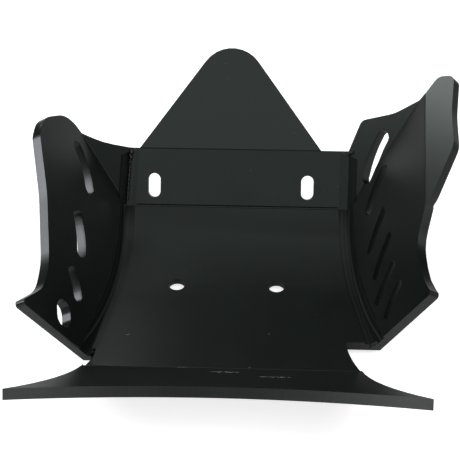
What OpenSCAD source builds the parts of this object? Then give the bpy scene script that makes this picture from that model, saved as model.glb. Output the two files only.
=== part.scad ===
// Skid plate for a motorcycle: one thick plastic sheet, cut flat and folded.
// X is to the right, Y forwards and Z up. The origin is midway between the two belly holes,
// on the inner face, and the belly is level there.

/* [Sheet] */
// Thickness of the sheet
sheet_t = 8; // [6:0.5:10]

/* [Belly] */
// Distance from the belly holes back to the tail crease
belly_rear = 98; // [88:1:115]
// Radius of the belly's upward bend
belly_bend_r = 260; // [220:5:320]
// Slope of the flat behind the bend, in degrees
belly_rear_tilt = 4; // [2:0.5:6]
// Slope of the flat ahead of the bend, in degrees
belly_front_tilt = 14; // [10:1:18]
// Length of the flat ahead of the bend
belly_front_len = 24; // [12:1:34]

/* [Belly holes] */
// Distance between the two holes
hole_pitch = 81; // [60:1:110]
// Diameter of each hole at the inner face
hole_d = 13; // [9:0.5:16]
// Diameter of the recess for the bolt head, in the outer face
recess_d = 19; // [17:0.5:26]
// Depth of that recess
recess_depth = 3; // [1:0.5:4.5]

/* [Tail] */
// Slope of the tail, in degrees
tail_tilt = 34; // [24:1:38]
// Length of the tail at its middle
tail_len = 60; // [45:1:70]
// How much further the tail's corners reach than its middle
tail_hollow = 20; // [8:1:26]
// Half of the width across the tail's corners
tail_half_w = 146; // [130:1:158]
// Half of the width at the tail crease
crease_half_w = 104.5; // [101:0.5:112]
// How far out the tail's sides run before they flare
tail_flare_w = 108; // [105:0.5:114]
// Distance from the crease to where the flare turns
tail_flare_at = 45; // [30:1:50]

/* [Neck] */
// Half of the width of the neck, left and right
neck_half_w = [96.5, 94]; // [92:0.5:98]
// Distance from the holes back to the notch, left and right
notch_y = [78, 65.5]; // [64:0.5:80]

/* [Front panel] */
// Slope of the front panel, in degrees
front_tilt = 55; // [48:1:64]
// Length of the front panel up its slope
front_len = 49.5; // [42:0.5:58]
// Half of its width along the top edge, left and right
front_top_half_w = [86.5, 100.5]; // [85:0.5:102]
// Distance between the two slots
slot_pitch = 132; // [110:1:140]
// Width of each slot
slot_w = 10.8; // [8:0.2:13]
// Length of each slot
slot_len = 20.7; // [16:0.1:28]
// Distance from the front crease up to the slots' centres
slot_up = 17.5; // [15:0.5:24]

/* [Tongue] */
// Slope of the tongue, in degrees
tongue_tilt = 49; // [42:1:54]
// Half of the tongue's width along its crease
tongue_half_w = 78; // [68:1:80]
// Distance from the crease to the point where the tongue's sides would meet
tongue_peak = 107; // [90:1:120]
// Radius of the tongue's tip
tongue_tip_r = 28; // [16:1:34]
// How far the tongue lies to the left of the middle
tongue_shift = 0.8; // [0:0.2:2]

/* [Wings] */
// Slope of both wings, in degrees
wing_slope = 60; // [54:1:64]
// How much each wing is turned in towards the front, in degrees, left and right
wing_toe = [5.5, 8]; // [5:0.5:8.5]
// Distance from the centre plane to each wing's fold beside the holes, left and right
wing_fold_x = [90, 104.5]; // [89:0.5:106]
// Slope of the right wing's flap against the wing, in degrees
flap_turn = 18; // [8:1:24]

/* [Vents] */
// Width of the left wing's long vents
vent_w_left = 11.5; // [7:0.5:12]
// Width of the right wing's two upper vents
vent_w_right = 11; // [8:0.5:12]
// Width of the right wing's four lower vents
vent_w_low = 8.5; // [6:0.5:10]

/* [Fold channels] */
// Depth of the channels milled along the folds of the wings
channel_depth = 1.6; // [0.8:0.1:2.4]
// Reach of the channels into the belly and the front panel
channel_in = 7; // [4:0.5:9]
// Reach of the channels up the wings
channel_up = 9; // [5:0.5:11]
// Radius of the groove along the front crease
crease_groove_r = 1.3; // [0.8:0.1:2]

/* [Hidden] */
LEFT = 0;
RIGHT = 1;
// Overlap of two plates whose inner faces meet at an outward fold.
edge_lap = 0.2;
// The flap lies this far below the wing at its crease, and runs this far under it.
flap_step = 0.3;
flap_lap = 0.5;
// Share of an outer corner that the two sheets of a fold fill.
fold_fill = 0.98;
// The channels stop this far below the front panel's top.
channel_end = 2.5;
ARC_STEPS = 8;
BIG = 600;

// Basic geometry

// Points of a polygon whose corners [x, y, r] are rounded to their radius r.
function rounded(c) = [for (i = [0 : len(c) - 1])
    let (p = c[i], a = c[(i + len(c) - 1) % len(c)], b = c[(i + 1) % len(c)],
         u = unit2(xy(a) - xy(p)), v = unit2(xy(b) - xy(p)),
         half = acos(u * v) / 2, d = p[2] / tan(half),
         mid = unit2(u + v), m = xy(p) + mid * p[2] / sin(half),
         from = angle2(xy(p) + u * d - m), turn = wrap(angle2(xy(p) + v * d - m) - from),
         n = p[2] == 0 ? 0 : max(2, ceil(abs(turn) / 12)))
    for (k = [0 : n]) p[2] == 0 ? xy(p) : m + p[2] * dir2(from + turn * k / n)];

function xy(p) = [p[0], p[1]];
function unit2(v) = v / norm(v);
function dir2(a) = [cos(a), sin(a)];
function angle2(v) = atan2(v[1], v[0]);
function wrap(a) = a > 180 ? a - 360 : a < -180 ? a + 360 : a;

// Points of a quadratic curve from p to r, drawn towards q.
function curve(p, q, r, n) = [for (k = [0 : n]) let (t = k / n)
    (1 - t) * (1 - t) * p + 2 * t * (1 - t) * q + t * t * r];

// The fold's inner corner moved outwards, so that both sides move by the distance d.
function mitre(p, before, after, d) =
    let (n = unit2(normal_out(before) + normal_out(after)))
    p + n * d / (n * normal_out(before));
function normal_out(angle) = [sin(angle), -cos(angle)];

// How far a sheet runs past the inner line of a fold to fill its outer corner, less a hair,
// so that the two sheets' ends cross instead of touching along one line.
function past_fold(angle) = fold_fill * sheet_t * tan(angle / 2);

// Side profile of the belly and front panel, as [y, z] on the inner face

bend_start = [-belly_bend_r * sin(belly_rear_tilt), belly_bend_r * (1 - cos(belly_rear_tilt))];
bend_end = [belly_bend_r * sin(belly_front_tilt), belly_bend_r * (1 - cos(belly_front_tilt))];
tail_crease = [-belly_rear, bend_start[1] + (belly_rear + bend_start[0]) * tan(belly_rear_tilt)];
front_crease = bend_end + belly_front_len * dir2(belly_front_tilt);
tongue_crease = front_crease + front_len * dir2(front_tilt);

bend_angles = [for (k = [0 : ARC_STEPS])
    -belly_rear_tilt + (belly_front_tilt + belly_rear_tilt) * k / ARC_STEPS];
tail_fold = tail_tilt - belly_rear_tilt;
front_fold = front_tilt - belly_front_tilt;

belly_rear_end = tail_crease - past_fold(tail_fold) * dir2(-belly_rear_tilt);

// The profile moved outwards by the distance d.
function profile_at(d) = concat(
    [belly_rear_end + d * normal_out(-belly_rear_tilt)],
    [for (a = bend_angles) [(belly_bend_r + d) * sin(a), belly_bend_r - (belly_bend_r + d) * cos(a)]],
    [mitre(front_crease, belly_front_tilt, front_tilt, d), tongue_crease + d * normal_out(front_tilt)]);

profile_out = profile_at(sheet_t);

function reversed(list) = [for (i = [len(list) - 1 : -1 : 0]) list[i]];

// Frame of a sloping sheet: x up the slope and outwards, y forwards, z along the inner normal

function slope_x(toe, slope) = [cos(slope) * cos(toe), cos(slope) * sin(toe), sin(slope)];
function slope_y(toe) = [-sin(toe), cos(toe), 0];
function in_frame(p, origin, toe, slope) =
    [(p - origin) * slope_x(toe, slope), (p - origin) * slope_y(toe)];
function from_frame(q, origin, toe, slope) =
    origin + q[0] * slope_x(toe, slope) + q[1] * slope_y(toe);

function wing_origin(side) = [wing_fold_x[side], 0, 0];

// Where the wing's inner face meets a line across the sheet at [y, z].
function wing_meets(side, at) =
    let (up = at[1] / sin(wing_slope), toe = wing_toe[side],
         along = (at[0] - up * cos(wing_slope) * sin(toe)) / cos(toe))
    from_frame([up, along], wing_origin(side), toe, wing_slope);

// Upper end of the crease between the wing and its front corner, in the wing's frame.
corner_top = [[90.3, 97.2], [129.5, 99.6]];

// Ends of the crease of the right wing's flap, in the wing's frame.
flap_foot = [96.5, -2.5];
flap_top = [137, 99];

corner_foot = [for (side = [LEFT, RIGHT]) wing_meets(side, front_crease)];
corner_fold_top = [for (side = [LEFT, RIGHT])
    [front_top_half_w[side], tongue_crease[0], tongue_crease[1]]];
corner_peak = [for (side = [LEFT, RIGHT])
    from_frame(corner_top[side], wing_origin(side), wing_toe[side], wing_slope)];
corner_normal = [for (side = [LEFT, RIGHT])
    let (n = cross(corner_peak[side] - corner_foot[side], corner_fold_top[side] - corner_foot[side]))
    n / norm(n)];
corner_slope = [for (n = corner_normal) acos(n[2])];
corner_toe = [for (n = corner_normal) atan2(-n[1], -n[0])];
wing_normal = [for (toe = wing_toe)
    [-sin(wing_slope) * cos(toe), -sin(wing_slope) * sin(toe), cos(wing_slope)]];
corner_fold = [for (side = [LEFT, RIGHT]) acos(corner_normal[side] * wing_normal[side])];
corner_front_fold = [for (n = corner_normal) acos(n * [0, -sin(front_tilt), cos(front_tilt)])];

module at_side(side) {
    mirror([side == LEFT ? 1 : 0, 0, 0]) children();
}

module in_slope(origin, toe, slope) {
    translate(origin)
    rotate([0, 0, toe])
    rotate([0, -slope, 0])
    children();
}

module in_wing(side) {
    in_slope(wing_origin(side), wing_toe[side], wing_slope) children();
}

module in_corner(side) {
    in_slope(corner_foot[side], corner_toe[side], corner_slope[side]) children();
}

// The plane that lies evenly across the crease between a wing and its front corner.
module on_crease(side) {
    n = unit2(corner_normal[side] + wing_normal[side]);
    in_slope(corner_foot[side], atan2(-n[1], -n[0]), acos(n[2])) children();
}

module sheet() {
    translate([0, 0, -sheet_t]) linear_extrude(sheet_t) children();
}

// All that lies outside a sloping sheet's outer face.
module beyond_sheet() {
    translate([-BIG / 2, -BIG / 2, -sheet_t - BIG]) cube(BIG);
}

// Across the object, from a drawing in the Y-Z plane.
module across(width) {
    rotate([90, 0, 90]) linear_extrude(width, center = true) children();
}

// Belly and front panel, folded along the side profile

module folded_strip() {
    across(BIG / 2) polygon(concat(profile_at(0), reversed(profile_out)));
}

// Space below and in front of the strip.
module under_strip() {
    last = len(profile_out) - 1;
    across(BIG) polygon(concat(
        [[-BIG, profile_out[0][1] + BIG * tan(belly_rear_tilt)]],
        profile_out,
        [profile_out[last] + BIG * dir2(front_tilt), [BIG, -BIG], [-BIG, -BIG]]));
}

// Cut beside the neck, behind the wing.
module neck_cut(side) {
    edge = curve([neck_half_w[side], -notch_y[side]],
                 [neck_half_w[side], -(notch_y[side] + belly_rear) / 2],
                 [crease_half_w, -belly_rear - past_fold(tail_fold)], ARC_STEPS);
    translate([0, 0, -BIG / 2])
    linear_extrude(BIG)
    polygon(concat(edge, [[crease_half_w, -BIG], [BIG, -BIG], [BIG, -notch_y[side]]]));
}

module belly_and_front() {
    difference() {
        folded_strip();
        for (side = [LEFT, RIGHT])
            at_side(side) {
                in_wing(side) beyond_sheet();
                in_corner(side) beyond_sheet();
                neck_cut(side);
            }
    }
}

// Tail, drawn in its own plane: x across, y away from the crease

function tail_edge(x) =
    let (r = (tail_half_w * tail_half_w + tail_hollow * tail_hollow) / (2 * tail_hollow))
    tail_len + r - sqrt(r * r - x * x);

module tail() {
    flare = curve([crease_half_w, -past_fold(tail_fold)], [tail_flare_w, tail_flare_at],
                  [tail_half_w, tail_edge(tail_half_w)], ARC_STEPS);
    end = [for (k = [1 : 2 * ARC_STEPS - 1]) let (x = tail_half_w * (1 - k / ARC_STEPS)) [x, tail_edge(x)]];
    translate([0, tail_crease[0], tail_crease[1]])
    rotate([-tail_tilt, 0, 0])
    mirror([0, 1, 0])
    sheet()
    polygon(concat(flare, end, reversed([for (p = flare) [-p[0], p[1]]])));
}

// Tongue, drawn in its own plane: x across, y up from the crease

module tongue() {
    translate([-tongue_shift, tongue_crease[0], tongue_crease[1]])
    rotate([tongue_tilt, 0, 0])
    sheet()
    polygon(rounded([[tongue_half_w, 0, 0], [0, tongue_peak, tongue_tip_r], [-tongue_half_w, 0, 0],
                     [-tongue_half_w, -edge_lap, 0], [tongue_half_w, -edge_lap, 0]]));
}

// Wings, drawn in their own planes: x up the slope, y forwards

// How far below the fold a wing's drawing starts, before the belly's outer face trims it.
below_fold = 25;

function foot_in_wing(side) =
    in_frame(corner_foot[side], wing_origin(side), wing_toe[side], wing_slope);

// The crease towards the wing's front corner, moved forwards to fill the fold.
// Its top stops short, so that it stays under the corner's top edge.
function corner_line(side) =
    let (a = foot_in_wing(side), b = corner_top[side], u = unit2(b - a),
         n = [-u[1], u[0]] * past_fold(corner_fold[side]))
    [a - u * below_fold + n, b + n - u * 2 * past_fold(corner_fold[side])];

// Where each wing's rear edge meets its fold; negative is behind the belly holes.
wing_rear = [-85.5, -67];

wing_left_outline =
    [[84.5, -105.3, 3], [69, -76, 26], [73, -50, 60], [99, 3, 120], [127.5, 46, 16], [130.5, 66, 24],
     [110, 98.5, 26], concat(corner_top[LEFT], [0])];
wing_right_outline =
    [[74, -79, 3], [69.5, -58, 60], [76, -24, 40], concat(flap_foot, [0]), concat(flap_top, [0]),
     concat(corner_top[RIGHT], [0])];

module wing_plate(side, outline, rear_fold_y) {
    line = corner_line(side);
    in_wing(side)
    sheet()
    polygon(concat(
        [[-below_fold, rear_fold_y + below_fold / 3]],
        rounded(concat([[0, rear_fold_y, 0]], outline, [[line[1][0], line[1][1], 0]])),
        [line[0]]));
}

// Outline of a vent along a shallow arc from p to q that bulges to its left by sag.
function vent_outline(p, q, width, sag) =
    let (chord = q - p, half = norm(chord) / 2, r = (half * half + sag * sag) / (2 * sag),
         spread = asin(half / r), left = [-chord[1], chord[0]] / (2 * half), up = angle2(left),
         m = (p + q) / 2 + (sag - r) * left)
    concat(arc_points(m, r + width / 2, up + spread, up - spread),
           arc_points(q, width / 2, up - spread - 30, up - spread - 150),
           arc_points(m, r - width / 2, up - spread, up + spread),
           arc_points(p, width / 2, up + spread - 210, up + spread - 330));

function arc_points(centre, radius, from, to) =
    [for (k = [0 : ARC_STEPS / 2]) centre + radius * dir2(from + (to - from) * 2 * k / ARC_STEPS)];

module vent(p, q, width, sag) {
    translate([0, 0, -5 * sheet_t])
    linear_extrude(8 * sheet_t)
    polygon(vent_outline(p, q, width, sag));
}

module left_vents() {
    in_wing(LEFT) {
        vent([61, 55], [88, 79], vent_w_left, 2.5);
        vent([46, -10], [63, 17], vent_w_left, 1.5);
        vent([35, -50], [48, -36], vent_w_left - 1, 1);
        vent([41, -80], [44, -74], vent_w_left + 4.5, 0.2);
    }
}

module right_vents() {
    on_crease(RIGHT) vent([33.5, -2.6], [70.5, 4.5], vent_w_right, 1.5);
    in_wing(RIGHT) {
        vent([40, 58], [68, 77], vent_w_right, 1.5);
        vent([28, 18.5], [55, 39], vent_w_low, 1);
        vent([25, -10.5], [53, 10], vent_w_low - 1, 1);
        vent([19, -34.5], [46, -19], vent_w_low - 1, 1);
        vent([24, -55], [46, -41.5], vent_w_low - 1, 1);
    }
}

// Front corner of a wing, between the front panel and the diagonal crease

module corner_plate(side, top) {
    f = in_frame(corner_fold_top[side], corner_foot[side], corner_toe[side], corner_slope[side]);
    peak = in_frame(corner_peak[side], corner_foot[side], corner_toe[side], corner_slope[side]);
    u = unit2(peak);
    c = peak - u * flap_lap;
    past_crease = [u[1], -u[0]] * past_fold(corner_fold[side]);
    into_front = [-f[1], f[0]] * sheet_t / norm(f);
    edge = rounded_open(c, top, f);
    past_peak = unit2(c - edge[0]) * norm(past_crease) / 2;
    in_corner(side)
    sheet()
    polygon(concat([c + past_crease - u * norm(past_crease), c + past_peak], edge, [f, f + into_front],
                   [into_front, past_crease - u * sheet_t]));
}

function rounded_open(a, mid, b) =
    let (p = rounded(concat([[a[0], a[1], 0]], mid, [[b[0], b[1], 0]])))
    [for (i = [1 : len(p) - 2]) p[i]];

// Flap of the right wing, turned out along a crease that runs forwards

module flap() {
    chord = flap_top - flap_foot;
    len = norm(chord);
    in_wing(RIGHT)
    translate(flap_foot)
    rotate([0, 0, angle2(chord)])
    rotate([flap_turn, 0, 0])
    translate([0, 0, -flap_step])
    sheet()
    polygon(rounded([[edge_lap, flap_lap, 0], [len - edge_lap, flap_lap, 0], [len + 11.8, -12.5, 7],
                     [len + 5.8, -27.5, 8], [len - 30, -24.6, 90], [len - 62, -26.2, 18], [8, -6, 20]]));
}

module wing_solid(side) {
    at_side(side)
    difference() {
        union() {
            if (side == LEFT) wing_plate(side, wing_left_outline, wing_rear[LEFT]);
            else wing_plate(side, wing_right_outline, wing_rear[RIGHT]);
            corner_plate(side, side == LEFT ? [[58.5, -4, 90]] : [[92.5, -9.5, 40], [75, 17.5, 8]]);
            if (side == RIGHT) flap();
        }
        under_strip();
        if (side == LEFT) left_vents();
        else right_vents();
    }
}

// Channels milled into the inner face along the folds, and the groove along the front crease

// A slab that is sunk into a sloping sheet and stands a distance clear of it.
module sunk_slab(reach) {
    translate([-BIG / 2, -BIG / 2, -channel_depth]) cube([BIG, BIG, channel_depth + reach]);
}

// Space from just inside the belly and front panel to a distance above them.
module near_strip(rise) {
    across(BIG) polygon(concat(profile_at(channel_depth), reversed(profile_at(-rise))));
}

module wing_channel(side) {
    at_side(side)
    difference() {
        intersection() {
            near_strip(channel_up * sin(wing_slope));
            in_wing(side) sunk_slab(channel_in * sin(wing_slope));
            translate([0, corner_foot[side][1] - BIG, -BIG / 2]) cube(BIG);
        }
        translate([neck_half_w[side] - BIG, -notch_y[side] - BIG, -BIG / 2]) cube(BIG);
    }
}

module corner_channel(side) {
    lift = sin(corner_front_fold[side]);
    at_side(side)
    intersection() {
        near_strip(channel_up * lift);
        in_corner(side) sunk_slab(channel_in * lift);
        translate([0, corner_foot[side][1] - flap_lap, 0])
        cube([BIG, BIG, tongue_crease[1] - channel_end]);
    }
}

module crease_groove() {
    translate([0, front_crease[0], front_crease[1]])
    rotate([0, 90, 0])
    cylinder(r = crease_groove_r, h = corner_foot[LEFT][0] + corner_foot[RIGHT][0], center = true, $fn = 24);
}

// Holes and slots

module belly_holes() {
    for (x = [-hole_pitch / 2, hole_pitch / 2])
        translate([x, 0, 0]) {
            cylinder(d = hole_d, h = 4 * sheet_t, center = true, $fn = 64);
            translate([0, 0, recess_depth - sheet_t - BIG / 2])
            cylinder(d = recess_d, h = BIG / 2, $fn = 64);
        }
}

module front_slots() {
    translate([0, front_crease[0], front_crease[1]])
    rotate([front_tilt, 0, 0])
    for (x = [-slot_pitch / 2, slot_pitch / 2])
        translate([x, slot_up, -2 * sheet_t])
        linear_extrude(4 * sheet_t) {
            square([slot_w, slot_len - slot_w], center = true);
            for (y = [slot_w / 2 - slot_len / 2, slot_len / 2 - slot_w / 2])
                translate([0, y]) circle(d = slot_w, $fn = 48);
        }
}

module skid_plate() {
    color([0.09, 0.1, 0.095])
    difference() {
        union() {
            belly_and_front();
            tail();
            tongue();
            wing_solid(LEFT);
            wing_solid(RIGHT);
        }
        for (side = [LEFT, RIGHT]) {
            wing_channel(side);
            corner_channel(side);
        }
        crease_groove();
        belly_holes();
        front_slots();
    }
}

skid_plate();
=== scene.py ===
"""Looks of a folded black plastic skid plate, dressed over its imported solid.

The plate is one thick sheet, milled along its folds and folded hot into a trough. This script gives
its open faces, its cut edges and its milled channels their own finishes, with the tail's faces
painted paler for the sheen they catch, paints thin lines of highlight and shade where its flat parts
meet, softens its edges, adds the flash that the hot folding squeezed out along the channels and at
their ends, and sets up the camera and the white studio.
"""

import logging
import math
from dataclasses import dataclass, field
from enum import Enum

import bpy
from mathutils import Matrix, Vector

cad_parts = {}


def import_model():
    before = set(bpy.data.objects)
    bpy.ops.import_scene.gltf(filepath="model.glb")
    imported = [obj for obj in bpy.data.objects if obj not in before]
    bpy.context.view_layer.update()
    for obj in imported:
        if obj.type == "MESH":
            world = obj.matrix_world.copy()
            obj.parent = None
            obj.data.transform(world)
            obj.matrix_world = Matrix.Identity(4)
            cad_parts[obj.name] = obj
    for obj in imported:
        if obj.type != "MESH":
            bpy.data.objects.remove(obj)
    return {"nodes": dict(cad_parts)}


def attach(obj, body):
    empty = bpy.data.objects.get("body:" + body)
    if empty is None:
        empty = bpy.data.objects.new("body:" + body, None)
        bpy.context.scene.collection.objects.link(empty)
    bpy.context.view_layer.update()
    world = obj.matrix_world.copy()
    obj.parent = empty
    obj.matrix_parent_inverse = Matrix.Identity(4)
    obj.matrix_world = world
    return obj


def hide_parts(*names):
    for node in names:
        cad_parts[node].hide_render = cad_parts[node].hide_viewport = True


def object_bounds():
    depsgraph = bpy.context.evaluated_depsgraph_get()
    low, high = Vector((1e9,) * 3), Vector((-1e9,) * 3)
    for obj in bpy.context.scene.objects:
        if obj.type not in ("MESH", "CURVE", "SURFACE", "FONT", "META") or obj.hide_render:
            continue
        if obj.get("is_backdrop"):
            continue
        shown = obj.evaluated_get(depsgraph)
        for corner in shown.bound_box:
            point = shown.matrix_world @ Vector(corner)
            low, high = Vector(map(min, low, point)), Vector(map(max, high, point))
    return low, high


LOG = logging.getLogger("skid_plate")
MM = 0.001
SHEET_MM = 8.0
CHANNEL_MM = 1.6
Triple = tuple[float, float, float]
Lump = tuple[Triple, float]


class FaceKind(Enum):
    """The three kinds of surface that the plate shows."""

    SHEET = "sheet_face"
    CUT_EDGE = "cut_edge"
    CHANNEL = "milled_channel"


@dataclass(frozen=True)
class SheetPart:
    """One flat part of the folded sheet.

    Attributes:
        name: What the part is.
        anchor: A point on its inner face, in millimetres.
        normal: Direction of its inner face.
    """

    name: str
    anchor: Triple
    normal: Triple

    def normal_at(self, point: Vector) -> Vector:
        """Direction of the inner face above a point, given in millimetres."""
        return Vector(self.normal).normalized()

    def depth(self, point: Vector) -> float:
        """How far a point lies below the inner face, in millimetres."""
        return (Vector(self.anchor) - point).dot(self.normal_at(point))

    def holds(self, corners: list[Vector], thickness: float, slack: float) -> bool:
        """Tells whether all of a face lies in a layer under the inner face.

        Args:
            corners: The face's corners, in millimetres.
            thickness: How deep the layer is, in millimetres.
            slack: How far beyond it a corner may lie, in millimetres.

        Returns:
            Whether it does.
        """
        return all(-slack < self.depth(corner) < thickness + slack for corner in corners)


@dataclass(frozen=True)
class BentPart(SheetPart):
    """The belly's upward bend; its anchor lies on the axis that it is bent about.

    Attributes:
        radius: Radius of its inner face, in millimetres.
    """

    radius: float = 260.0

    def normal_at(self, point: Vector) -> Vector:
        """Direction of the inner face above a point, given in millimetres."""
        return Vector((0.0, self.anchor[1] - point.y, self.anchor[2] - point.z)).normalized()

    def depth(self, point: Vector) -> float:
        """How far a point lies below the inner face, in millimetres."""
        return math.hypot(self.anchor[1] - point.y, self.anchor[2] - point.z) - self.radius


def tilted(degrees: float) -> Triple:
    """Normal of a face that rises forwards by an angle."""
    return (0.0, -math.sin(math.radians(degrees)), math.cos(math.radians(degrees)))


BELLY_BEND = BentPart("belly_bend", (0.0, 0.0, 260.0), (0.0, 0.0, 1.0))
PARTS = (
    BELLY_BEND,
    SheetPart("belly_rear", (0.0, -98.0, 6.218), tilted(-4.0)),
    SheetPart("belly_front", (0.0, 86.187, 13.529), tilted(14.0)),
    SheetPart("front_panel", (0.0, 86.187, 13.529), tilted(55.0)),
    SheetPart("tongue", (0.0, 114.579, 54.077), tilted(49.0)),
    SheetPart("tail", (0.0, -98.0, 6.218), tilted(-34.0)),
    SheetPart("left_wing", (-90.0, 0.0, 0.0), (0.862038, -0.083005, 0.5)),
    SheetPart("right_wing", (104.5, 0.0, 0.0), (-0.857597, -0.120527, 0.5)),
    SheetPart("left_corner", (-89.548, 86.187, 13.529), (0.529392, -0.713136, 0.459544)),
    SheetPart("right_corner", (100.275, 86.187, 13.529), (-0.584976, -0.662846, 0.467374)),
    SheetPart("right_flap", (152.628, 4.239, 83.572), (-0.657, -0.205, 0.725)),
)


class Shader:
    """A node tree, of a material or the world, that is put together one node at a time."""

    def __init__(self, owner: bpy.types.Material | bpy.types.World) -> None:
        """Empties the owner's node tree.

        Args:
            owner: The material or world.
        """
        owner.use_nodes = True
        self.tree: bpy.types.NodeTree = owner.node_tree
        self.tree.nodes.clear()

    def node(self, kind: str, **values: object) -> bpy.types.Node:
        """Adds a node.

        Args:
            kind: The node's type.
            **values: Properties of the node, or values of its inputs by name with spaces as underscores.

        Returns:
            The new node.
        """
        made = self.tree.nodes.new(kind)
        for key, value in values.items():
            socket = made.inputs.get(key.replace("_", " "))
            if socket is not None and not hasattr(made, key):
                socket.default_value = value
            else:
                setattr(made, key, value)
        return made

    def link(self, source: bpy.types.NodeSocket, target: bpy.types.NodeSocket) -> None:
        """Joins an output to an input."""
        self.tree.links.new(source, target)

    def fill(self, slots: object, values: tuple[object, ...]) -> None:
        """Links or sets a node's first inputs.

        Args:
            slots: The node's inputs.
            values: A socket, a number or a vector for each.
        """
        for slot, value in zip(slots, values):
            if isinstance(value, bpy.types.NodeSocket):
                self.link(value, slot)
            else:
                slot.default_value = value

    def ramp(self, source: bpy.types.NodeSocket, low: float, high: float) -> bpy.types.NodeSocket:
        """Turns a value into 0 below one level and 1 above another.

        Args:
            source: The value that is read.
            low: Where the result leaves 0.
            high: Where the result reaches 1; it may lie below the first level.

        Returns:
            The result.
        """
        made = self.node("ShaderNodeMapRange", interpolation_type="SMOOTHSTEP")
        self.fill(made.inputs, (source, low, high, 0.0, 1.0))
        return made.outputs[0]

    def math(self, operation: str, *values: object) -> bpy.types.NodeSocket:
        """Adds a math node.

        Args:
            operation: What it does.
            *values: A socket or a number for each of its inputs.

        Returns:
            The result.
        """
        made = self.node("ShaderNodeMath", operation=operation)
        self.fill(made.inputs, values)
        return made.outputs[0]

    def vector(self, operation: str, *values: object) -> bpy.types.Node:
        """Adds a vector math node.

        Args:
            operation: What it does.
            *values: A socket or a vector for each of its inputs.

        Returns:
            The new node, whose results are a vector and a number.
        """
        made = self.node("ShaderNodeVectorMath", operation=operation)
        self.fill(made.inputs, values)
        return made

    def noise(
        self, place: bpy.types.NodeSocket, scale: float, detail: float = 2.0, roughness: float = 0.6
    ) -> bpy.types.NodeSocket:
        """Adds a noise texture.

        Args:
            place: The coordinates it is read at.
            scale: Its frequency, per metre.
            detail: Its finer octaves.
            roughness: How strong each octave is beside the one before.

        Returns:
            The noise, around 0.5.
        """
        made = self.node("ShaderNodeTexNoise", Scale=scale, Detail=detail, Roughness=roughness)
        self.link(place, made.inputs["Vector"])
        return made.outputs["Fac"]

    def mix(self, share: object, first: object, second: object) -> bpy.types.NodeSocket:
        """Mixes two colours.

        Args:
            share: How much of the second colour there is, a socket or a number.
            first: One colour, a socket or three numbers.
            second: The other colour.

        Returns:
            The mixed colour.
        """
        made = self.node("ShaderNodeMix", data_type="RGBA")
        self.fill([made.inputs[0]], (share,))
        # The node's inputs 6 and 7 and its output 2 are the ones for colours.
        for slot, value in ((made.inputs[6], first), (made.inputs[7], second)):
            self.fill([slot], (value if isinstance(value, bpy.types.NodeSocket) else (*value, 1.0),))
        return made.outputs[2]


@dataclass(frozen=True)
class Scuff:
    """One place where the sheet's surface is scratched to a paler grey.

    Attributes:
        centre: Its middle, in millimetres.
        reach: Its half-sizes along X, Y and Z, in millimetres.
    """

    centre: Triple
    reach: Triple


SCUFFS = (
    Scuff((-74.2, -62.3, 3.7), (2.6, 0.5, 2.0)),
    Scuff((-29.4, -98.4, 6.4), (5.2, 0.9, 2.0)),
    Scuff((2.0, -108.5, 13.3), (11.5, 1.6, 3.0)),
    Scuff((21.1, -96.0, 6.1), (1.2, 0.8, 2.0)),
    Scuff((40.0, -118.7, 20.2), (12.0, 1.4, 3.0)),
    Scuff((16.4, -24.7, 1.1), (0.6, 0.5, 2.0)),
    Scuff((35.0, -58.0, 3.4), (0.7, 0.6, 2.0)),
)


@dataclass(frozen=True)
class Crease:
    """A thin painted line along a fold, where two flat parts of the sheet meet: a painted highlight or a
    painted shade line.

    Attributes:
        first: Name of one part.
        second: Name of the other.
        strength: How clear the line is, from 0 to 1.
        width: How far it reaches to either side, in metres.
        core: Share of that reach over which it is at full strength.
    """

    first: str
    second: str
    strength: float
    width: float = 0.0005
    core: float = 0.4

    def value(self, shader: Shader, place: bpy.types.NodeSocket) -> bpy.types.NodeSocket:
        """Adds the nodes of the line.

        Args:
            shader: The material that is being made.
            place: The object coordinates.

        Returns:
            The line's strength at the place.
        """
        sides = [part for part in PARTS if part.name in (self.first, self.second)]
        normals = [Vector(part.normal).normalized() for part in sides]
        reach = self.width * normals[0].cross(normals[1]).length
        near: float | bpy.types.NodeSocket = self.strength
        for part, normal in zip(sides, normals):
            offset = shader.vector("SUBTRACT", place, Vector(part.anchor) * MM).outputs["Vector"]
            height = shader.vector("DOT_PRODUCT", offset, normal).outputs["Value"]
            away = shader.math("ABSOLUTE", height)
            near = shader.math("MULTIPLY", near, shader.ramp(away, reach, self.core * reach))
        return near


# Painted highlights: pale lines painted along these folds where they catch the light.
PAINTED_HIGHLIGHT_CREASES = (
    Crease("belly_front", "front_panel", 0.8),
    Crease("belly_rear", "tail", 0.6),
    Crease("left_wing", "left_corner", 0.7),
    Crease("right_wing", "right_corner", 0.5),
)
# Painted shade: along these folds the reflection is taken away, for a dark line.
PAINTED_SHADE_CREASES = (
    Crease("front_panel", "tongue", 0.65, 0.0007),
    Crease("right_wing", "right_flap", 0.6),
)


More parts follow.
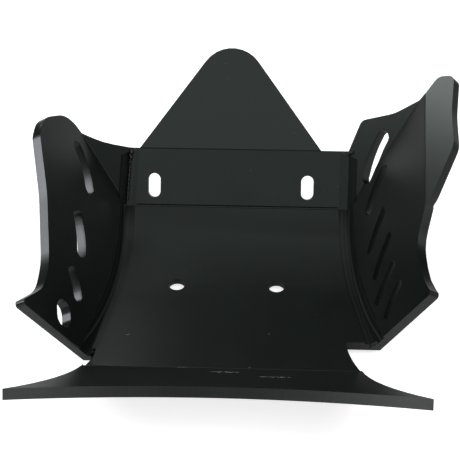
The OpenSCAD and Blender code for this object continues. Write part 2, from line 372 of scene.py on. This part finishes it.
@dataclass(frozen=True)
class Ruling:
    """Lines that a cutter left side by side along a fold.

    Attributes:
        across: Normal of the plane that the lines keep their distance from, or none for the belly's bend.
        pitch: Distance between the lines, in metres.
        depth: Strength of their relief, in metres.
        wander: How far they stray from a straight line, in pitches.
        wander_scale: Frequency of that straying, per metre.
    """

    across: Triple | None
    pitch: float = 0.0023
    depth: float = 0.00005
    wander: float = 0.35
    wander_scale: float = 30.0

    def value(self, shader: Shader, place: bpy.types.NodeSocket) -> bpy.types.NodeSocket:
        """Adds the nodes of the lines.

        Args:
            shader: The material that is being made.
            place: The object coordinates.

        Returns:
            A value that varies across the lines.
        """
        if self.across is None:
            from_axis = shader.vector("SUBTRACT", place, Vector(BELLY_BEND.anchor) * MM).outputs["Vector"]
            flat = shader.vector("MULTIPLY", from_axis, (0.0, 1.0, 1.0)).outputs["Vector"]
            away = shader.vector("LENGTH", flat).outputs["Value"]
        else:
            away = shader.vector("DOT_PRODUCT", place, Vector(self.across).normalized()).outputs["Value"]
        wander = shader.math("MULTIPLY", shader.noise(place, self.wander_scale, 1.0), self.wander)
        lines = shader.node("ShaderNodeTexNoise", noise_dimensions="1D", Detail=1.0, Scale=1.0)
        shader.link(shader.math("MULTIPLY_ADD", away, 1.0 / self.pitch, wander), lines.inputs["W"])
        return lines.outputs["Fac"]


@dataclass(frozen=True)
class Chatter:
    """Short lines that a cutter left straight through the sheet on its cut edges.

    Attributes:
        through: Direction through the sheet.
        pitch: Distance between the lines, in metres.
        depth: Strength of their relief, in metres.
        stretch: How much the pattern is drawn out through the sheet, where 1 is without end.
    """

    through: Triple
    pitch: float = 0.0009
    depth: float = 0.00002
    stretch: float = 0.985

    def value(self, shader: Shader, place: bpy.types.NodeSocket) -> bpy.types.NodeSocket:
        """Adds the nodes of the lines.

        Args:
            shader: The material that is being made.
            place: The object coordinates.

        Returns:
            A value that varies across the lines.
        """
        along = Vector(self.through).normalized()
        share = shader.vector("DOT_PRODUCT", place, along).outputs["Value"]
        carried = shader.vector("SCALE", along)
        shader.link(shader.math("MULTIPLY", share, self.stretch), carried.inputs["Scale"])
        across = shader.vector("SUBTRACT", place, carried.outputs["Vector"]).outputs["Vector"]
        return shader.noise(across, 1.0 / self.pitch)


# Colours in linear light.
CUTTER_MARK_COLOUR = (0.028, 0.031, 0.029)
SCUFF_COLOUR = (0.26, 0.28, 0.27)
# The pale crease colour is a painted highlight along the folds.
CREASE_HIGHLIGHT_COLOUR = (0.040, 0.044, 0.042)

# Frequencies of the patterns on the plastic, per metre.
CLOUD_SCALE = 22.0
GRAIN_SCALE = 1700.0
SPECK_SCALE = 560.0
RAGGED_SCALE = 620.0

# Levels of the noise between which each pattern sets in.
CUTTER_MARK_LEVELS = (0.52, 0.66)
SPECK_LEVELS = (0.735, 0.765)
RAGGED_LEVELS = (0.50, 0.56)

# Distance from a scuff's middle, in its own half-sizes, where it sets in and where it is full.
SCUFF_RIM = (1.15, 0.8)

SPECK_STRENGTH = 0.35
# The tone's share where the clouding is darkest and where it is palest.
CLOUD_TONES = (0.75, 1.25)
# What the clouding and the scuffs add to the roughness.
CLOUD_ROUGHNESS = 0.08
SCUFF_ROUGHNESS = 0.15


@dataclass(frozen=True)
class PlasticFinish:
    """Satin black plastic, with a fine grain, faint clouding and light scuffs.

    Attributes:
        name: The material's name.
        tone: Base colour in linear light.
        roughness: Middle of the roughness, which the clouding varies.
        grain_depth: Strength of the fine grain's relief, in metres.
        scuffs_and_crease_light: Whether the surface has the specks and scuffs of the open faces, and the
            painted highlight and shade lines along their folds.
        marks: Lines that a cutter left, or none.
        mark_tint: How much the lines are paler than the plastic.
        gloss: Strength of its reflection, where 0.5 is a smooth plastic's.
        sheen: Tint of its reflection.
    """

    name: str
    tone: Triple = (0.0046, 0.0066, 0.0055)
    roughness: float = 0.32
    grain_depth: float = 0.000012
    scuffs_and_crease_light: bool = False
    marks: Ruling | Chatter | None = None
    mark_tint: float = 0.5
    gloss: float = 0.5
    sheen: Triple = (0.88, 1.0, 0.94)

    def build(self) -> bpy.types.Material:
        """Makes the material.

        Returns:
            The material.
        """
        material = bpy.data.materials.new(self.name)
        shader = Shader(material)
        out = shader.node("ShaderNodeOutputMaterial")
        skin = shader.node("ShaderNodeBsdfPrincipled", IOR=1.5)
        skin.inputs["Specular Tint"].default_value = (*self.sheen, 1.0)
        skin.inputs["Specular IOR Level"].default_value = self.gloss
        shader.link(skin.outputs["BSDF"], out.inputs["Surface"])
        place = shader.node("ShaderNodeTexCoord").outputs["Object"]

        cloud = shader.noise(place, CLOUD_SCALE, 4.0)
        darkest, palest = ([share * part for part in self.tone] for share in CLOUD_TONES)
        tint = shader.mix(cloud, darkest, palest)
        rough = shader.math("MULTIPLY_ADD", cloud, CLOUD_ROUGHNESS, self.roughness - 0.5 * CLOUD_ROUGHNESS)
        grain = shader.node("ShaderNodeBump", Strength=1.0, Distance=self.grain_depth)
        shader.link(shader.noise(place, GRAIN_SCALE), grain.inputs["Height"])
        normal = grain.outputs["Normal"]
        if self.marks is not None:
            marks = self.marks.value(shader, place)
            relief = shader.node("ShaderNodeBump", Strength=1.0, Distance=self.marks.depth)
            shader.link(marks, relief.inputs["Height"])
            shader.link(normal, relief.inputs["Normal"])
            normal = relief.outputs["Normal"]
            pale = shader.math("MULTIPLY", shader.ramp(marks, *CUTTER_MARK_LEVELS), self.mark_tint)
            tint = shader.mix(pale, tint, CUTTER_MARK_COLOUR)
        if self.scuffs_and_crease_light:
            scuff = self._scuffs(shader, place)
            tint = shader.mix(scuff, tint, SCUFF_COLOUR)
            rough = shader.math("MULTIPLY_ADD", scuff, SCUFF_ROUGHNESS, rough)
            # Painted highlights: a pale line painted along the folds that catch the light.
            for crease in PAINTED_HIGHLIGHT_CREASES:
                tint = shader.mix(crease.value(shader, place), tint, CREASE_HIGHLIGHT_COLOUR)
            # Painted shade: the reflection is taken away along the folds of the dark lines.
            gloss: float | bpy.types.NodeSocket = self.gloss
            for crease in PAINTED_SHADE_CREASES:
                gloss = shader.math("MULTIPLY_ADD", crease.value(shader, place), -self.gloss, gloss)
            shader.link(gloss, skin.inputs["Specular IOR Level"])
        shader.link(tint, skin.inputs["Base Color"])
        shader.link(rough, skin.inputs["Roughness"])
        shader.link(normal, skin.inputs["Normal"])
        return material

    def _scuffs(self, shader: Shader, place: bpy.types.NodeSocket) -> bpy.types.NodeSocket:
        """Adds the nodes of sparse specks all over and of the scuffs at their places.

        Args:
            shader: The material that is being made.
            place: The object coordinates.

        Returns:
            A value from 0, clean, to 1, fully scratched.
        """
        specks = shader.ramp(shader.noise(place, SPECK_SCALE), *SPECK_LEVELS)
        total = shader.math("MULTIPLY", specks, SPECK_STRENGTH)
        ragged = shader.ramp(shader.noise(place, RAGGED_SCALE), *RAGGED_LEVELS)
        for scuff in SCUFFS:
            offset = shader.vector("SUBTRACT", place, Vector(scuff.centre) * MM).outputs["Vector"]
            scaled = shader.vector("DIVIDE", offset, Vector(scuff.reach) * MM).outputs["Vector"]
            away = shader.vector("LENGTH", scaled).outputs["Value"]
            mark = shader.math("MULTIPLY", shader.ramp(away, *SCUFF_RIM), ragged)
            total = shader.math("MAXIMUM", total, mark)
        return total


@dataclass(frozen=True)
class StudioFinish:
    """The floor's white, which the camera sees as paper white outside the plate's shadow.

    Attributes:
        name: The material's name.
        white: Diffuse colour of the floor.
        lift: Light added for the camera alone.
    """

    name: str = "studio_white"
    white: float = 0.86
    lift: float = 0.70

    def build(self) -> bpy.types.Material:
        """Makes the material.

        Returns:
            The material.
        """
        material = bpy.data.materials.new(self.name)
        shader = Shader(material)
        out = shader.node("ShaderNodeOutputMaterial")
        paint = shader.node("ShaderNodeBsdfDiffuse")
        paint.inputs["Color"].default_value = (self.white, self.white, self.white, 1.0)
        glow = shader.node("ShaderNodeEmission")
        seen = shader.node("ShaderNodeLightPath").outputs["Is Camera Ray"]
        shader.link(shader.math("MULTIPLY", seen, self.lift), glow.inputs["Strength"])
        both = shader.node("ShaderNodeAddShader")
        shader.link(paint.outputs[0], both.inputs[0])
        shader.link(glow.outputs[0], both.inputs[1])
        shader.link(both.outputs[0], out.inputs["Surface"])
        return material


# A face lies along a part of the sheet where the cosine between their normals is above this.
ALONG_PART = 0.999
# How far off a face may lie, in millimetres: an open face or a channel's floor from its depth, a
# channel's side from the channel's layer, and a cut edge from the sheet's own layer.
DEPTH_SLACK = 0.2
SIDE_SLACK = 0.1
EDGE_SLACK = 0.5

# The tail's faces have a base colour about twice as pale as the other open faces, painted light for the
# sheen they catch at grazing angles; they are also a little rougher.
TAIL_PAINTED_SHEEN_LOOK = {"tone": (0.0092, 0.0120, 0.0104), "roughness": 0.36}
EDGE_LOOK = {"roughness": 0.29, "mark_tint": 0.2, "sheen": (0.97, 1.0, 0.99)}
# Channels on the wings and corners are rougher and duller than those on the flatter parts.
STEEP_CHANNEL_LOOK = {"roughness": 0.48, "mark_tint": 0.9, "gloss": 0.12}
FLAT_CHANNEL_LOOK = {"roughness": 0.34, "mark_tint": 0.3, "gloss": 0.42}


@dataclass
class FoldedSheet:
    """The plate itself: a copy of its solid with softened edges and a finish for each kind of face.

    Attributes:
        edge_width: Width of the softened edge, in metres.
        edge_segments: Facets across the softened edge.
        smooth_angle: Faces of a curve meet at less than this, in degrees.
        shade_slack: How much more two faces may turn and still be shaded as one curve, in degrees.
        merge_reach: Corners of the loose triangles nearer than this are one, in metres.
        flat_angle: Triangles that turn by less than this are one flat face, in degrees.
        slots: Material slots made so far, by the finish's name.
    """

    edge_width: float = 0.00045
    edge_segments: int = 2
    smooth_angle: float = 28.0
    shade_slack: float = 4.0
    merge_reach: float = 0.00004
    flat_angle: float = 0.02
    slots: dict[str, int] = field(default_factory=dict)

    def build(self, source: bpy.types.Object) -> bpy.types.Object:
        """Makes the plate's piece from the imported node.

        Args:
            source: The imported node's object.

        Returns:
            The finished piece.
        """
        plate = source.copy()
        plate.data = source.data.copy()
        plate.name = "folded_sheet"
        plate.parent = None
        plate.matrix_world = Matrix.Identity(4)
        bpy.context.collection.objects.link(plate)
        self._merge(plate)
        self._dress(plate)
        self._soften(plate)
        return plate

    def _merge(self, plate: bpy.types.Object) -> None:
        """Joins the solid's loose triangles into one closed mesh.

        Args:
            plate: The plate's piece.
        """
        select_only(plate)
        bpy.ops.object.mode_set(mode="EDIT")
        bpy.ops.mesh.select_all(action="SELECT")
        bpy.ops.mesh.remove_doubles(threshold=self.merge_reach)
        bpy.ops.mesh.dissolve_limited(angle_limit=math.radians(self.flat_angle))
        bpy.ops.object.mode_set(mode="OBJECT")

    def _dress(self, plate: bpy.types.Object) -> None:
        """Gives each face the finish of its kind.

        Args:
            plate: The plate's piece.
        """
        plate.data.materials.clear()
        for face in plate.data.polygons:
            kind, part = self._sort(plate.data, face)
            finish = self._finish(kind, part, "right" if face.center.x > 0.0 else "left")
            if finish.name not in self.slots:
                plate.data.materials.append(finish.build())
                self.slots[finish.name] = len(self.slots)
            face.material_index = self.slots[finish.name]

    def _finish(self, kind: FaceKind, part: SheetPart, side: str) -> PlasticFinish:
        """Chooses a finish.

        Args:
            kind: The kind of face.
            part: The part of the sheet that it belongs to.
            side: The side of the plate that it lies on, left or right.

        Returns:
            The finish.
        """
        # Painted light: the tail's open faces take a paler tone for the sheen they catch.
        if kind is FaceKind.SHEET and part.name == "tail":
            return PlasticFinish("tail_face_painted_sheen", scuffs_and_crease_light=True, **TAIL_PAINTED_SHEEN_LOOK)
        if kind is FaceKind.SHEET:
            return PlasticFinish(kind.value, scuffs_and_crease_light=True)
        if kind is FaceKind.CUT_EDGE:
            through = tuple(part.normal_at(Vector((0.0, 0.0, 0.0))))
            return PlasticFinish(f"{kind.value}_{part.name}", marks=Chatter(through), **EDGE_LOOK)
        # The lines of a channel keep their distance from the part on the fold's other side. A wing's
        # channel follows the belly, so its lines keep theirs from the axis of the belly's bend.
        partner = {
            "front_panel": f"{side}_corner",
            f"{side}_corner": "front_panel",
            f"{side}_wing": None,
        }.get(part.name, f"{side}_wing")
        across = next((other.normal for other in PARTS if other.name == partner), None)
        look = STEEP_CHANNEL_LOOK if part.name.endswith(("wing", "corner")) else FLAT_CHANNEL_LOOK
        return PlasticFinish(f"{kind.value}_{part.name}_{side}", marks=Ruling(across), **look)

    def _sort(self, mesh: bpy.types.Mesh, face: bpy.types.MeshPolygon) -> tuple[FaceKind, SheetPart]:
        """Tells what kind of surface a face belongs to, and on which part of the sheet.

        Args:
            mesh: The plate's mesh.
            face: One of its faces.

        Returns:
            The kind and the part.
        """
        centre = Vector(face.center) / MM
        corners = [mesh.vertices[index].co / MM for index in face.vertices]
        for part in PARTS:
            if abs(face.normal.dot(part.normal_at(centre))) > ALONG_PART:
                depth = part.depth(centre)
                if min(abs(depth), abs(depth - SHEET_MM)) < DEPTH_SLACK:
                    return FaceKind.SHEET, part
                if abs(depth - CHANNEL_MM) < DEPTH_SLACK:
                    return FaceKind.CHANNEL, part
        for part in PARTS:
            if part.holds(corners, CHANNEL_MM, SIDE_SLACK):
                return FaceKind.CHANNEL, part
        through = [part for part in PARTS if part.holds(corners, SHEET_MM, EDGE_SLACK)]
        across = min(through or PARTS, key=lambda part: abs(face.normal.dot(part.normal_at(centre))))
        return FaceKind.CUT_EDGE, across

    def _soften(self, plate: bpy.types.Object) -> None:
        """Rounds the sharp edges slightly and shades the curves smooth and the flats flat.

        Args:
            plate: The plate's piece.
        """
        select_only(plate)
        bevel = plate.modifiers.new("edges", "BEVEL")
        bevel.width = self.edge_width
        bevel.segments = self.edge_segments
        bevel.limit_method = "ANGLE"
        bevel.angle_limit = math.radians(self.smooth_angle)
        bevel.use_clamp_overlap = True
        bevel.miter_outer = "MITER_ARC"
        bpy.ops.object.modifier_apply(modifier=bevel.name)
        bpy.ops.object.shade_smooth()
        self._shade(plate.data)

    def _shade(self, mesh: bpy.types.Mesh) -> None:
        """Shades each corner by the faces around it that curve on from its own face.

        A face counts by its area, if it turns away by less than the smooth angle and its slack and
        doesn't lie on another flat part of the sheet.

        Args:
            mesh: The plate's mesh.
        """
        homes = [self._home(mesh, face) for face in mesh.polygons]
        around: dict[int, list[int]] = {}
        for face in mesh.polygons:
            for corner in face.vertices:
                around.setdefault(corner, []).append(face.index)
        limit = math.cos(math.radians(self.smooth_angle + self.shade_slack))
        normals = [Vector((0.0, 0.0, 1.0))] * len(mesh.loops)
        for face in mesh.polygons:
            for loop, corner in zip(face.loop_indices, face.vertices):
                total = Vector()
                for index in around[corner]:
                    other = mesh.polygons[index]
                    apart = homes[index] and homes[face.index] and homes[index] != homes[face.index]
                    if not apart and other.normal.dot(face.normal) > limit:
                        total += other.normal * other.area
                normals[loop] = total.normalized()
        mesh.normals_split_custom_set(normals)

    def _home(self, mesh: bpy.types.Mesh, face: bpy.types.MeshPolygon) -> str:
        """Names the flat part that a face lies on.

        Args:
            mesh: The plate's mesh.
            face: One of its faces.

        Returns:
            The kind and the part in one word, with the whole belly as one part, or an empty text for
            a cut edge.
        """
        kind, part = self._sort(mesh, face)
        if kind is FaceKind.CUT_EDGE:
            return ""
        return kind.value + ("belly" if part.name.startswith("belly") else part.name)


@dataclass(frozen=True)
class FlashBead:
    """Plastic squeezed out along a fold or at its end when it was heated and pressed.

    Attributes:
        name: The piece's name.
        lumps: Centre and radius of each lump, in millimetres.
        voxel: Fineness of the skin around the lumps, in metres.
        ease_rounds: How often that skin is smoothed.
    """

    name: str
    lumps: tuple[Lump, ...]
    voxel: float = 0.00022
    ease_rounds: int = 3

    def build(self) -> bpy.types.Object:
        """Makes the bead as one lumpy skin around its lumps.

        Returns:
            The finished piece.
        """
        bpy.ops.object.select_all(action="DESELECT")
        balls = []
        for centre, radius in self.lumps:
            place = Vector(centre) * MM
            bpy.ops.mesh.primitive_ico_sphere_add(subdivisions=3, radius=radius * MM, location=place)
            balls.append(bpy.context.object)
        for ball in balls:
            ball.select_set(True)
        bpy.context.view_layer.objects.active = balls[0]
        bpy.ops.object.join()
        bead = bpy.context.object
        bead.name = self.name
        bpy.ops.object.transform_apply(location=True, rotation=True, scale=True)
        skin = bead.modifiers.new("skin", "REMESH")
        skin.mode = "VOXEL"
        skin.voxel_size = self.voxel
        ease = bead.modifiers.new("ease", "SMOOTH")
        ease.iterations = self.ease_rounds
        for modifier in (skin.name, ease.name):
            bpy.ops.object.modifier_apply(modifier=modifier)
        bpy.ops.object.shade_smooth()
        bead.data.materials.clear()
        plastic = PlasticFinish(f"{self.name}_plastic", roughness=0.28, grain_depth=0.00004)
        bead.data.materials.append(plastic.build())
        return bead


# Angle between the push of one lump and of the next, in radians.
SWAY_STEP = 2.4


def lump_line(start: Triple, end: Triple, radii: tuple[float, ...], sway: float) -> tuple[Lump, ...]:
    """Lumps set along a line, each pushed a little to either side in turn.

    Args:
        start: First lump's centre, in millimetres.
        end: Last lump's centre, in millimetres.
        radii: Radius of each lump, in millimetres.
        sway: How far the lumps are pushed along X, in millimetres.

    Returns:
        Centre and radius of each lump.
    """
    first, last = Vector(start), Vector(end)
    lumps = []
    for index, radius in enumerate(radii):
        centre = first.lerp(last, index / max(1, len(radii) - 1))
        centre.x += sway * math.sin(SWAY_STEP * index)
        lumps.append((tuple(centre), radius))
    return tuple(lumps)


BEADS = (
    FlashBead(
        "left_top_flash",
        lump_line((-86.2, 113.0, 52.6), (-87.4, 105.6, 42.0), (1.5, 1.9, 1.3, 1.6, 1.0, 1.2, 0.8), 0.5),
    ),
    FlashBead(
        "left_fold_bead",
        lump_line((-87.4, 105.4, 41.2), (-89.2, 88.4, 17.4), (0.9, 1.0, 0.9, 1.0, 0.8) * 4, 0.15),
    ),
    FlashBead(
        "right_top_flash",
        lump_line((101.0, 112.6, 52.6), (103.4, 111.4, 55.4), (1.4, 1.2, 1.5, 1.0), 0.4),
    ),
    FlashBead(
        "left_rear_flash",
        lump_line((-101.2, -80.8, 2.2), (-97.2, -79.3, 0.2), (1.2, 1.6, 1.1, 1.7, 1.3, 1.7), 0.3),
    ),
    FlashBead(
        "right_rear_flash",
        lump_line((112.8, -66.2, 1.0), (117.2, -66.6, 5.4), (0.9, 1.4, 1.1, 1.5, 0.9), 0.4),
    ),
)


@dataclass(frozen=True)
class SoftBox:
    """An even lamp that faces the plate.

    Attributes:
        name: The lamp's name.
        place: Its middle, in metres.
        size: Its width and height, in metres.
        level: Its brightness, where the surround's white is 1.
        colour: Its colour.
    """

    name: str
    place: Triple
    size: tuple[float, float]
    level: float
    colour: Triple = (1.0, 1.0, 1.0)

    def build(self) -> None:
        """Hangs the lamp."""
        data = bpy.data.lights.new(self.name, "AREA")
        data.shape = "RECTANGLE"
        data.size, data.size_y = self.size
        data.energy = self.level * math.pi * self.size[0] * self.size[1]
        data.color = self.colour
        lamp = bpy.data.objects.new(self.name, data)
        bpy.context.collection.objects.link(lamp)
        aim = (-Vector(self.place)).to_track_quat("-Z", "Y")
        lamp.matrix_world = Matrix.Translation(self.place) @ aim.to_matrix().to_4x4()


LAMPS = (
    SoftBox("front_left_box", (-0.37, 0.61, 0.46), (0.18, 0.18), 10.0),
    SoftBox("left_window", (-1.37, 0.06, 0.74), (0.62, 0.42), 8.5, (0.95, 0.94, 1.0)),
    SoftBox("rear_left_box", (-0.84, -1.98, 0.70), (0.6, 0.5), 4.8),
    SoftBox("rear_right_box", (0.72, -2.03, 0.72), (0.6, 0.5), 3.6),
    SoftBox("high_right_box", (1.35, -0.10, 1.40), (1.0, 1.0), 2.4),
)
SENSOR_MM = 36.0
NEAREST_SEEN = 0.01


@dataclass
class Studio:
    """The white floor, the surround, the lamps and the camera.

    Attributes:
        eye: The camera's place, in metres.
        yaw: Turn of the camera to the side, in degrees.
        pitch: Tilt of the camera downwards, in degrees.
        roll: Turn of the picture, in degrees.
        lens: Focal length, in millimetres.
        floor_size: Side of the floor, in metres.
        bright: Level of the surround at its brightest, where a white surface shows as white at 1.
        dim: Level of the surround at its dimmest, low down and in front of the plate.
        bright_side: Direction of its brightest side, nearly overhead and a little to the rear.
        fade: Cosines from that side at which the surround is at its dimmest and its brightest.
        fade_power: How steeply it brightens between them.
        dark_side: Direction of the dark patch where the camera and its holder stand.
        patch_rim: Cosines from that side at which the patch sets in and is full.
        patch_depth: Share of the surround's level that the patch takes away.
    """

    eye: Triple = (0.03026, -0.69475, 0.63382)
    yaw: float = -2.25
    pitch: float = 39.59
    roll: float = 0.29
    lens: float = 90.44
    floor_size: float = 9.0
    bright: float = 0.90
    dim: float = 0.012
    bright_side: Triple = (0.0, -0.41, 0.912)
    fade: tuple[float, float] = (0.15, 0.92)
    fade_power: float = 1.5
    dark_side: Triple = (0.0, -0.924, 0.383)
    patch_rim: tuple[float, float] = (0.93, 0.99)
    patch_depth: float = 0.74

    def build(self, floor_z: float) -> None:
        """Sets up everything around the plate.

        Args:
            floor_z: Height of the floor, in metres.
        """
        self._camera()
        self._floor(floor_z)
        self._surround()
        for lamp in LAMPS:
            lamp.build()
        bpy.context.scene.view_settings.view_transform = "Standard"

    def _camera(self) -> None:
        """Puts the camera where the photograph was taken from."""
        yaw, pitch, roll = (math.radians(value) for value in (self.yaw, self.pitch, self.roll))
        ahead = Vector((math.sin(yaw) * math.cos(pitch), math.cos(yaw) * math.cos(pitch), -math.sin(pitch)))
        level = Vector((math.cos(yaw), -math.sin(yaw), 0.0))
        down = ahead.cross(level)
        right = math.cos(roll) * level + math.sin(roll) * down
        below = -math.sin(roll) * level + math.cos(roll) * down
        data = bpy.data.cameras.new("camera")
        data.sensor_width = SENSOR_MM
        data.lens = self.lens
        data.clip_start = NEAREST_SEEN
        camera = bpy.data.objects.new("camera", data)
        bpy.context.collection.objects.link(camera)
        turn = Matrix((right, -below, -ahead)).transposed().to_4x4()
        camera.matrix_world = Matrix.Translation(self.eye) @ turn
        bpy.context.scene.camera = camera

    def _floor(self, floor_z: float) -> None:
        """Lays the white floor.

        Args:
            floor_z: Height of the floor, in metres.
        """
        bpy.ops.object.select_all(action="DESELECT")
        bpy.ops.mesh.primitive_plane_add(size=self.floor_size, location=(0.0, 0.0, floor_z))
        floor = bpy.context.object
        floor.name = "studio_floor"
        floor.data.materials.append(StudioFinish().build())
        floor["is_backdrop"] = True

    def _surround(self) -> None:
        """Lights the plate from above and all round, as a white tent does, less so from low down."""
        world = bpy.data.worlds.new("white_surround")
        bpy.context.scene.world = world
        tree = Shader(world)
        out = tree.node("ShaderNodeOutputWorld")
        glow = tree.node("ShaderNodeBackground", Color=(1.0, 1.0, 1.0, 1.0))
        toward = tree.node("ShaderNodeTexCoord").outputs["Generated"]
        facing = tree.vector("DOT_PRODUCT", toward, self.bright_side).outputs["Value"]
        share = tree.node("ShaderNodeMapRange")
        tree.fill(share.inputs, (facing, *self.fade, 0.0, 1.0))
        rise = tree.math("POWER", share.outputs[0], self.fade_power)
        level = tree.math("MULTIPLY_ADD", rise, self.bright - self.dim, self.dim)
        behind = tree.vector("DOT_PRODUCT", toward, self.dark_side).outputs["Value"]
        patch = tree.ramp(behind, *self.patch_rim)
        level = tree.math("MULTIPLY", level, tree.math("MULTIPLY_ADD", patch, -self.patch_depth, 1.0))
        seen = tree.node("ShaderNodeLightPath").outputs["Is Camera Ray"]
        tree.link(tree.math("MAXIMUM", level, seen), glow.inputs["Strength"])
        tree.link(glow.outputs[0], out.inputs["Surface"])


def select_only(piece: bpy.types.Object) -> None:
    """Selects one object and makes it active.

    Args:
        piece: The object.
    """
    bpy.ops.object.select_all(action="DESELECT")
    piece.select_set(True)
    bpy.context.view_layer.objects.active = piece


def main() -> None:
    """Builds the pieces in order and sets up the studio."""
    logging.basicConfig(level=logging.INFO, format="%(name)s: %(message)s")
    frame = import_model()
    cad_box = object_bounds()
    plate = FoldedSheet().build(frame["nodes"]["skid_plate"])
    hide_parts("skid_plate")
    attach(plate, "root")
    LOG.info("folded sheet: %d faces", len(plate.data.polygons))
    for bead in BEADS:
        piece = bead.build()
        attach(piece, "root")
        LOG.info("%s: %d faces", bead.name, len(piece.data.polygons))

    Studio().build(cad_box[0][2])


if __name__ == "__main__":
    main()
